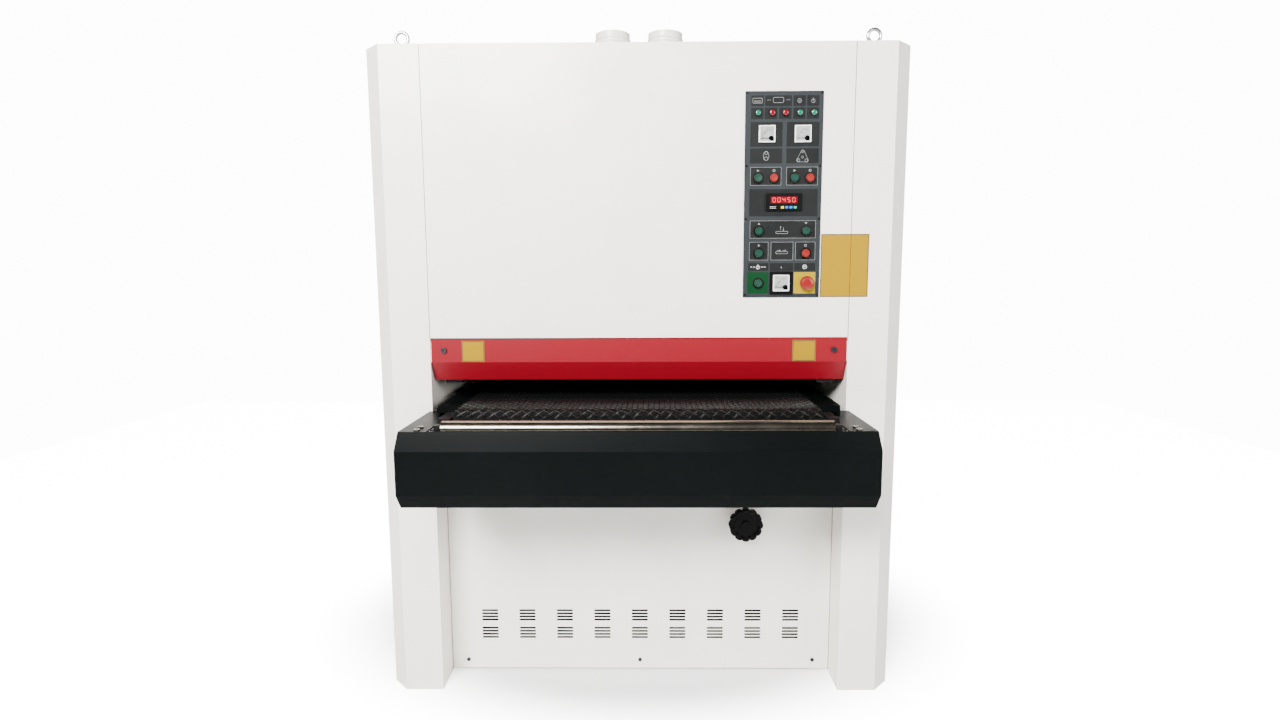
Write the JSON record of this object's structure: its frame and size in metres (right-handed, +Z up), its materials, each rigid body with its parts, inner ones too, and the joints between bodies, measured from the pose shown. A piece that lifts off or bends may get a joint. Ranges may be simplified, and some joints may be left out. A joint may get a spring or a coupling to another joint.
{
  "type": "wide belt sander",
  "caption": "Two-head wide belt sander: a sheet steel cabinet with a drum head and a combination head over a rising rubber feed table.",
  "frame": {"origin": "on the floor under the middle of the machine", "axes": "+Z up, +X to the right of someone at the infeed side, +Y along the feed, so the infeed side faces -Y"},
  "size_m": [1.614, 1.686, 2.112],
  "materials": {
    "cream_paint": "semi-gloss powder coat",
    "dark_paint": "satin hammered paint",
    "red_paint": "semi-gloss paint",
    "machine_blue": "satin paint",
    "bright_steel": "machined",
    "chromed": "polished",
    "alloy": "turned",
    "feed_rubber": "diamond-ribbed",
    "drum_rubber": "ground",
    "abrasive": "abrasive grit on cloth",
    "drive_rubber": "ribbed",
    "graphite_felt": "graphite cloth over felt",
    "panel_grey": "printed overlay on a plate",
    "dial_white": "glossy",
    "black_plastic": "fine texture",
    "lamp_green": "translucent",
    "button_green": "smooth",
    "button_red": "smooth"
  },
  "bodies": {
    "cabinet": {"side_frames": "cream_paint", "base_frame": "cream_paint", "top_cover": "cream_paint", "upper_front_panel": "cream_paint", "lower_front_panel": "cream_paint", "front_guard": "red_paint", "rear_panels": "cream_paint", "dust_outlets": "cream_paint", "lifting_eyes": "bright_steel", "control_panel": "panel_grey", "meter_cases": "dial_white", "digital_readout": "black_plastic", "pilot_lights": "lamp_green", "button_bezels": "chromed", "main_motors": "machine_blue", "lift_gearboxes": "machine_blue", "lift_gearmotor": "machine_blue", "head_frames": "dark_paint", "abrasive_belts": "abrasive", "drive_belts": "drive_rubber", "platen": "graphite_felt"},
    "feed_table": {"table_frame": "dark_paint", "feed_belt": "feed_rubber", "front_apron": "dark_paint", "rear_apron": "dark_paint", "conveyor_brackets": "dark_paint", "lift_screws": "bright_steel", "feed_gearmotor": "machine_blue"},
    "feed_drive_roller": {"feed_drive_roller": "drum_rubber"},
    "feed_idler_roller": {"feed_idler_roller": "alloy"},
    "infeed_roller": {"infeed_roller": "chromed"},
    "outfeed_roller": {"outfeed_roller": "chromed"},
    "sanding_drum": {"sanding_drum": "drum_rubber"},
    "drum_tension_roller": {"drum_tension_roller": "alloy"},
    "combi_drum": {"combi_drum": "drum_rubber"},
    "combi_idler": {"combi_idler": "alloy"},
    "combi_tension_roller": {"combi_tension_roller": "alloy"},
    "drum_motor_rotor": {"drum_motor_rotor": "bright_steel"},
    "combi_motor_rotor": {"combi_motor_rotor": "bright_steel"},
    "front_pressure_roller": {"front_pressure_roller": "drum_rubber"},
    "rear_pressure_roller": {"rear_pressure_roller": "drum_rubber"},
    "front_cross_shaft": {"front_cross_shaft": "bright_steel"},
    "rear_cross_shaft": {"rear_cross_shaft": "bright_steel"},
    "link_shaft": {"link_shaft": "bright_steel"},
    "lift_handwheel": {"lift_handwheel": "black_plastic"},
    "drum_start_button": {"drum_start_button": "button_green"},
    "drum_stop_button": {"drum_stop_button": "button_red"},
    "combi_start_button": {"combi_start_button": "button_green"},
    "combi_stop_button": {"combi_stop_button": "button_red"},
    "table_up_button": {"table_up_button": "button_green"},
    "table_down_button": {"table_down_button": "button_green"},
    "feed_start_button": {"feed_start_button": "button_green"},
    "feed_stop_button": {"feed_stop_button": "button_red"},
    "power_button": {"power_button": "button_green"},
    "emergency_stop": {"emergency_stop": "button_red"},
    "drum_meter_needle": {"drum_meter_needle": "black_plastic"},
    "combi_meter_needle": {"combi_meter_needle": "black_plastic"},
    "voltmeter_needle": {"voltmeter_needle": "black_plastic"},
    "left_door": {"left_door": "cream_paint"},
    "right_door": {"right_door": "cream_paint"}
  },
  "joints": [
    {"name": "table_lift", "type": "slide", "parent": "cabinet", "child": "feed_table", "axis": [0, 0, 1], "range_m": [-0.065, 0.042]},
    {"name": "feed_drive_spin", "type": "hinge", "parent": "feed_table", "child": "feed_drive_roller", "pos_m": [0, 0.691, 0.852], "axis": [1, 0, 0], "continuous": true},
    {"name": "feed_idler_spin", "type": "hinge", "parent": "feed_table", "child": "feed_idler_roller", "pos_m": [0, -0.691, 0.852], "axis": [1, 0, 0], "continuous": true},
    {"name": "infeed_roller_spin", "type": "hinge", "parent": "feed_table", "child": "infeed_roller", "pos_m": [0, -0.804, 0.882], "axis": [1, 0, 0], "continuous": true},
    {"name": "outfeed_roller_spin", "type": "hinge", "parent": "feed_table", "child": "outfeed_roller", "pos_m": [0, 0.804, 0.882], "axis": [1, 0, 0], "continuous": true},
    {"name": "drum_spin", "type": "hinge", "parent": "cabinet", "child": "sanding_drum", "pos_m": [0, -0.23, 1.0598], "axis": [1, 0, 0], "continuous": true},
    {"name": "drum_tension_spin", "type": "hinge", "parent": "cabinet", "child": "drum_tension_roller", "pos_m": [0, -0.23, 1.757], "axis": [1, 0, 0], "continuous": true},
    {"name": "combi_spin", "type": "hinge", "parent": "cabinet", "child": "combi_drum", "pos_m": [0, 0.16, 1.0398], "axis": [1, 0, 0], "continuous": true},
    {"name": "combi_idler_spin", "type": "hinge", "parent": "cabinet", "child": "combi_idler", "pos_m": [0, 0.39, 1.0148], "axis": [1, 0, 0], "continuous": true},
    {"name": "combi_tension_spin", "type": "hinge", "parent": "cabinet", "child": "combi_tension_roller", "pos_m": [0, 0.275, 1.757], "axis": [1, 0, 0], "continuous": true},
    {"name": "drum_motor_spin", "type": "hinge", "parent": "cabinet", "child": "drum_motor_rotor", "pos_m": [0, -0.19, 0.222], "axis": [1, 0, 0], "continuous": true},
    {"name": "combi_motor_spin", "type": "hinge", "parent": "cabinet", "child": "combi_motor_rotor", "pos_m": [0, 0.19, 0.222], "axis": [1, 0, 0], "continuous": true},
    {"name": "front_pressure_spin", "type": "hinge", "parent": "cabinet", "child": "front_pressure_roller", "pos_m": [0, -0.48, 0.983], "axis": [1, 0, 0], "continuous": true},
    {"name": "rear_pressure_spin", "type": "hinge", "parent": "cabinet", "child": "rear_pressure_roller", "pos_m": [0, 0.48, 0.983], "axis": [1, 0, 0], "continuous": true},
    {"name": "front_cross_shaft_spin", "type": "hinge", "parent": "cabinet", "child": "front_cross_shaft", "pos_m": [0, -0.382, 0.508], "axis": [1, 0, 0], "continuous": true},
    {"name": "rear_cross_shaft_spin", "type": "hinge", "parent": "cabinet", "child": "rear_cross_shaft", "pos_m": [0, 0.382, 0.508], "axis": [1, 0, 0], "continuous": true},
    {"name": "link_shaft_spin", "type": "hinge", "parent": "cabinet", "child": "link_shaft", "pos_m": [0.33, 0, 0.508], "axis": [0, 1, 0], "continuous": true},
    {"name": "handwheel_spin", "type": "hinge", "parent": "cabinet", "child": "lift_handwheel", "pos_m": [0.33, -0.48, 0.508], "axis": [0, 1, 0], "continuous": true},
    {"name": "drum_start_press", "type": "slide", "parent": "cabinet", "child": "drum_start_button", "axis": [0, 1, 0], "range_m": [0, 0.004], "stiffness_N_per_m": 600},
    {"name": "drum_stop_press", "type": "slide", "parent": "cabinet", "child": "drum_stop_button", "axis": [0, 1, 0], "range_m": [0, 0.004], "stiffness_N_per_m": 600},
    {"name": "combi_start_press", "type": "slide", "parent": "cabinet", "child": "combi_start_button", "axis": [0, 1, 0], "range_m": [0, 0.004], "stiffness_N_per_m": 600},
    {"name": "combi_stop_press", "type": "slide", "parent": "cabinet", "child": "combi_stop_button", "axis": [0, 1, 0], "range_m": [0, 0.004], "stiffness_N_per_m": 600},
    {"name": "table_up_press", "type": "slide", "parent": "cabinet", "child": "table_up_button", "axis": [0, 1, 0], "range_m": [0, 0.004], "stiffness_N_per_m": 600},
    {"name": "table_down_press", "type": "slide", "parent": "cabinet", "child": "table_down_button", "axis": [0, 1, 0], "range_m": [0, 0.004], "stiffness_N_per_m": 600},
    {"name": "feed_start_press", "type": "slide", "parent": "cabinet", "child": "feed_start_button", "axis": [0, 1, 0], "range_m": [0, 0.004], "stiffness_N_per_m": 600},
    {"name": "feed_stop_press", "type": "slide", "parent": "cabinet", "child": "feed_stop_button", "axis": [0, 1, 0], "range_m": [0, 0.004], "stiffness_N_per_m": 600},
    {"name": "power_press", "type": "slide", "parent": "cabinet", "child": "power_button", "axis": [0, 1, 0], "range_m": [0, 0.004], "stiffness_N_per_m": 600},
    {"name": "emergency_stop_press", "type": "slide", "parent": "cabinet", "child": "emergency_stop", "axis": [0, 1, 0], "range_m": [0, 0.004]},
    {"name": "drum_meter_swing", "type": "hinge", "parent": "cabinet", "child": "drum_meter_needle", "pos_m": [0.37587, -0.5525, 1.65776], "axis": [0, 1, 0], "range_deg": [0, 90], "stiffness_Nm_per_rad": 0.0002},
    {"name": "combi_meter_swing", "type": "hinge", "parent": "cabinet", "child": "combi_meter_needle", "pos_m": [0.47683, -0.5525, 1.65776], "axis": [0, 1, 0], "range_deg": [0, 90], "stiffness_Nm_per_rad": 0.0002},
    {"name": "voltmeter_swing", "type": "hinge", "parent": "cabinet", "child": "voltmeter_needle", "pos_m": [0.4235, -0.5525, 1.24104], "axis": [0, 1, 0], "range_deg": [0, 90], "stiffness_Nm_per_rad": 0.0002},
    {"name": "right_door_swing", "type": "hinge", "parent": "cabinet", "child": "right_door", "pos_m": [0.783, 0.42, 1.4], "axis": [0, 0, 1], "range_deg": [0, 110]},
    {"name": "left_door_swing", "type": "hinge", "parent": "cabinet", "child": "left_door", "pos_m": [-0.783, 0.42, 1.4], "axis": [0, 0, 1], "range_deg": [-110, 0]}
  ],
  "couplings": [
    {"joint": "feed_idler_spin", "follows": "feed_drive_spin", "ratio": 1},
    {"joint": "drum_tension_spin", "follows": "drum_spin", "ratio": 1.6667},
    {"joint": "drum_motor_spin", "follows": "drum_spin", "ratio": 0.76471},
    {"joint": "combi_idler_spin", "follows": "combi_spin", "ratio": 1.4545},
    {"joint": "combi_tension_spin", "follows": "combi_spin", "ratio": 1.3333},
    {"joint": "combi_motor_spin", "follows": "combi_spin", "ratio": 0.76471},
    {"joint": "front_cross_shaft_spin", "follows": "table_lift", "rad_per_m": 4188.8},
    {"joint": "rear_cross_shaft_spin", "follows": "table_lift", "rad_per_m": -4188.8},
    {"joint": "handwheel_spin", "follows": "table_lift", "rad_per_m": 4188.8},
    {"joint": "link_shaft_spin", "follows": "table_lift", "rad_per_m": -4188.8}
  ]
}
